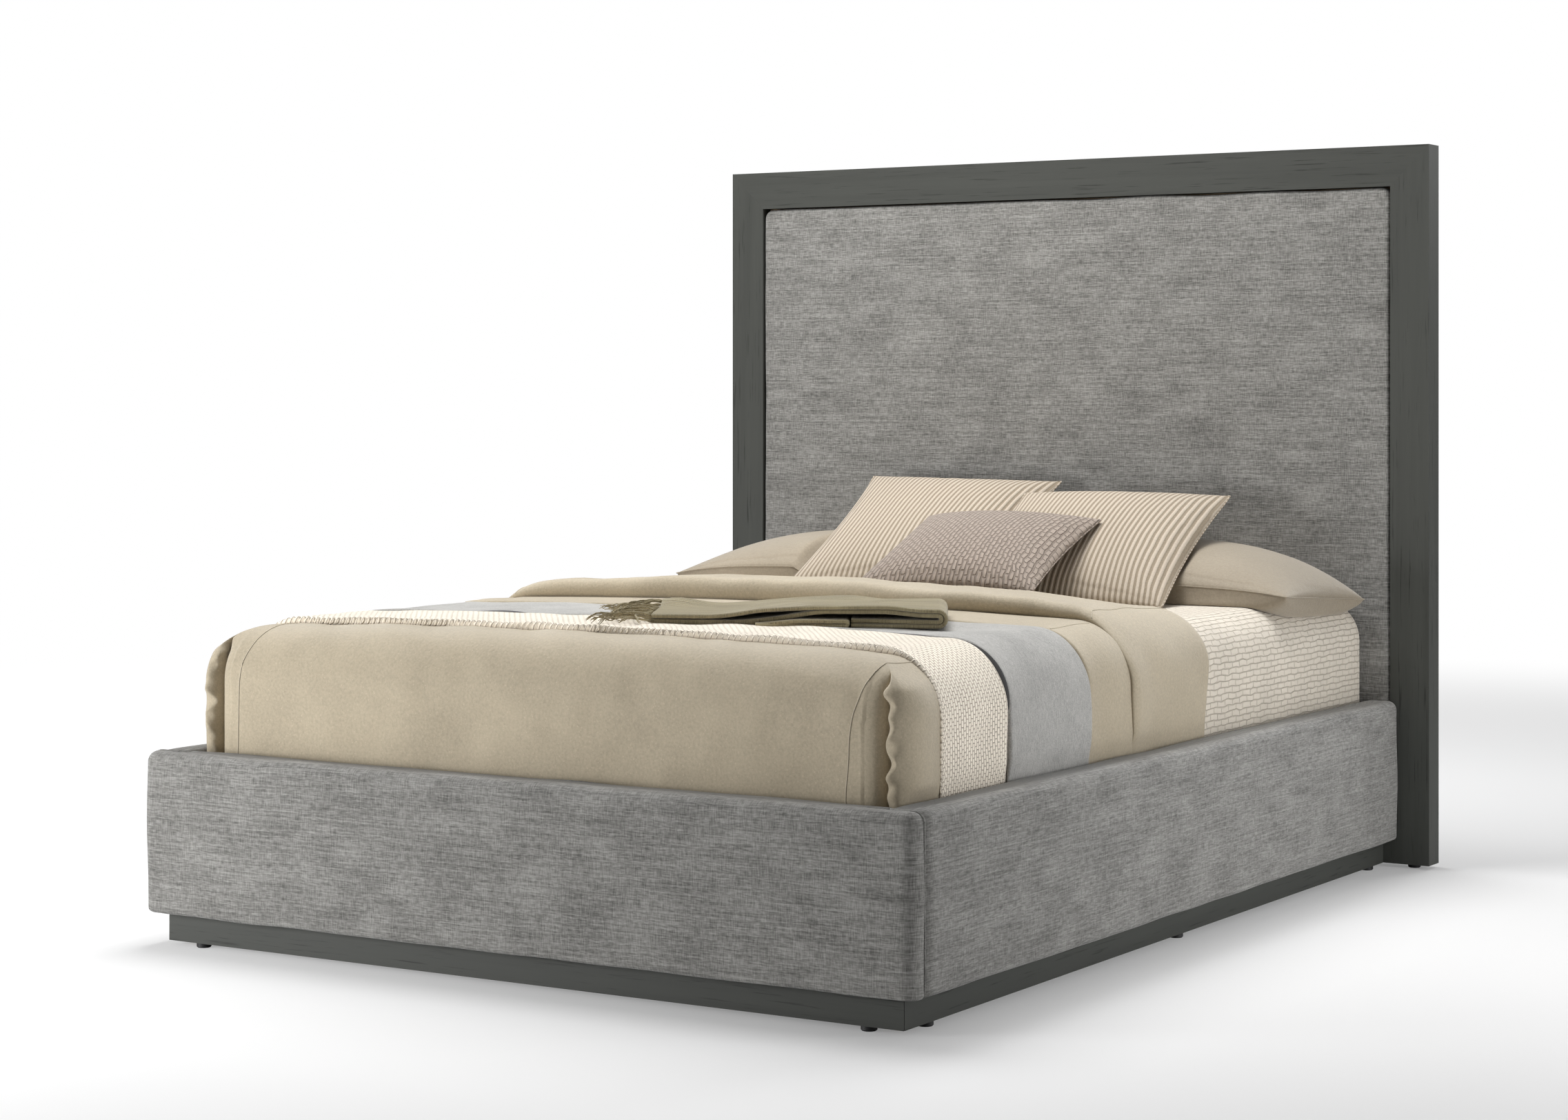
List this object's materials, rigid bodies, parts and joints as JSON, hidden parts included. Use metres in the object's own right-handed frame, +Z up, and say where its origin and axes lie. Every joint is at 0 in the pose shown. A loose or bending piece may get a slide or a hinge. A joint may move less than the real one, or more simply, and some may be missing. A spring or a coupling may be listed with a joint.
{
  "type": "upholstered headboard bed",
  "caption": "Low platform bed with fabric-covered rails on a set-back plinth and a tall padded headboard in a mitred timber frame, made up with bedding and cushions.",
  "frame": {"origin": "on the floor, under the middle of the whole bed's box", "axes": "+X to the right seen from the foot, +Y from the foot to the headboard, +Z up"},
  "size_m": [1.829, 2.238, 1.602],
  "materials": {
    "ash_grey_wood": "satin, dark grey-brown stain with fine grain",
    "raw_timber": "planed, unfinished",
    "slub_grey_fabric": "slubbed linen-look weave",
    "black_lining": "thin non-woven lining",
    "black_plastic": "matte",
    "webbing": "woven tape",
    "steel": "zinc plated",
    "ticking": "plain ticking",
    "ribbed_ivory_cotton": "soft ribbed and waffle weaves",
    "greige_satin": "smooth cotton with a low sheen",
    "silver_grey_wool": "brushed wool",
    "olive_knit": "loosely woven",
    "striped_linen": "padded stripes",
    "taupe_crinkle": "pleated crinkle"
  },
  "bodies": {
    "frame": {"headboard_post_left": "ash_grey_wood", "headboard_post_right": "ash_grey_wood", "headboard_top_rail": "ash_grey_wood", "headboard_lower_board": "ash_grey_wood", "headboard_cleats": "raw_timber", "headboard_cross_batten": "raw_timber", "headboard_panel_board": "raw_timber", "headboard_pad": "slub_grey_fabric", "headboard_back_cover": "black_lining", "side_rail_left": "raw_timber", "side_rail_right": "raw_timber", "footboard": "raw_timber", "rail_end_blocks": "raw_timber", "side_rail_jacket_left": "slub_grey_fabric", "side_rail_jacket_right": "slub_grey_fabric", "footboard_jacket": "slub_grey_fabric", "plinth_front": "ash_grey_wood", "plinth_side_left": "ash_grey_wood", "plinth_side_right": "ash_grey_wood", "plinth_blocks": "raw_timber", "plinth_glides": "black_plastic", "headboard_glides": "black_plastic", "slat_ledge_left": "raw_timber", "slat_ledge_right": "raw_timber", "slats": "raw_timber", "slat_straps": "webbing", "centre_beam": "raw_timber", "beam_cups": "steel", "centre_legs": "raw_timber", "centre_leg_glides": "black_plastic", "head_bolts": "steel", "barrel_nuts": "steel", "corner_angles": "steel", "corner_bolts": "steel"},
    "made_up_mattress": {"mattress": "ticking", "fitted_sheet": "ribbed_ivory_cotton", "foot_coverlet": "greige_satin", "waffle_blanket": "ribbed_ivory_cotton", "grey_blanket": "silver_grey_wool", "duvet": "greige_satin"},
    "throw": {"throw_blanket": "olive_knit", "throw_fringe": "olive_knit"},
    "sleeping_pillows": {"sleeping_pillow_left": "greige_satin", "sleeping_pillow_right": "greige_satin"},
    "left_striped": {"striped_cushion_left": "striped_linen"},
    "right_striped": {"striped_cushion_right": "striped_linen"},
    "small": {"small_cushion": "taupe_crinkle"}
  },
  "joints": [
    {"name": "mattress_lift", "type": "slide", "parent": "frame", "child": "made_up_mattress", "axis": [0, 0, 1], "range_m": [0, 0.25]},
    {"name": "throw_lift", "type": "slide", "parent": "made_up_mattress", "child": "throw", "axis": [0, 0, 1], "range_m": [0, 0.15]},
    {"name": "pillow_lift", "type": "slide", "parent": "made_up_mattress", "child": "sleeping_pillows", "axis": [0, 0, 1], "range_m": [0, 0.15]},
    {"name": "left_striped_lift", "type": "slide", "parent": "sleeping_pillows", "child": "left_striped", "axis": [0, 0, 1], "range_m": [0, 0.15]},
    {"name": "right_striped_lift", "type": "slide", "parent": "left_striped", "child": "right_striped", "axis": [0, 0, 1], "range_m": [0, 0.15]},
    {"name": "small_lift", "type": "slide", "parent": "right_striped", "child": "small", "axis": [0, 0, 1], "range_m": [0, 0.15]}
  ]
}
